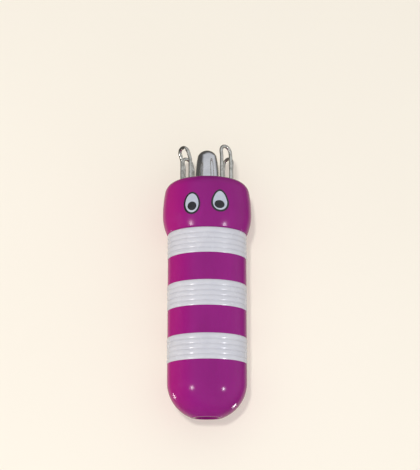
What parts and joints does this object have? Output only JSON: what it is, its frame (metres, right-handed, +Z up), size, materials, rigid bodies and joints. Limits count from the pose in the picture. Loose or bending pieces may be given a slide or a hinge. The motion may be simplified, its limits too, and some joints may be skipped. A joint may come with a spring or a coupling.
{
  "type": "i-cord maker",
  "caption": "Hand-held cord knitter: banded purple barrel, head with two eyes and wire loops, and a stitch pick stored in its bore.",
  "frame": {"origin": "on the floor under the middle of the overall length, below the barrel's axis", "axes": "+Y along the barrel's axis towards the wire loops, +Z up through the eyes as it lies on its back, +X to the right seen from above with the loops away from the viewer"},
  "size_m": [0.0304, 0.093, 0.0305],
  "materials": {
    "purple_plastic": "glossy moulded plastic",
    "grip_rubber": "smooth soft elastomer",
    "loop_wire": "bright bent wire",
    "knob_chrome": "polished",
    "needle_steel": "drawn steel",
    "eye_white": "glossy",
    "eye_black": "glossy"
  },
  "bodies": {
    "knitter": {"barrel": "purple_plastic", "guide_tube": "purple_plastic", "head_shell": "purple_plastic", "lower_grip_ring": "grip_rubber", "middle_grip_ring": "grip_rubber", "upper_grip_ring": "grip_rubber", "left_eye_outline": "eye_black", "left_eye_white": "eye_white", "left_pupil": "eye_black", "right_eye_outline": "eye_black", "right_eye_white": "eye_white", "right_pupil": "eye_black", "back_right_loop": "loop_wire", "back_left_loop": "loop_wire", "front_left_loop": "loop_wire", "front_right_loop": "loop_wire"},
    "pick": {"pick_knob": "knob_chrome", "pick_needle": "needle_steel"}
  },
  "joints": [
    {"name": "pick_pull", "type": "slide", "parent": "knitter", "child": "pick", "axis": [0, 1, 0], "range_m": [0, 0.06]}
  ]
}
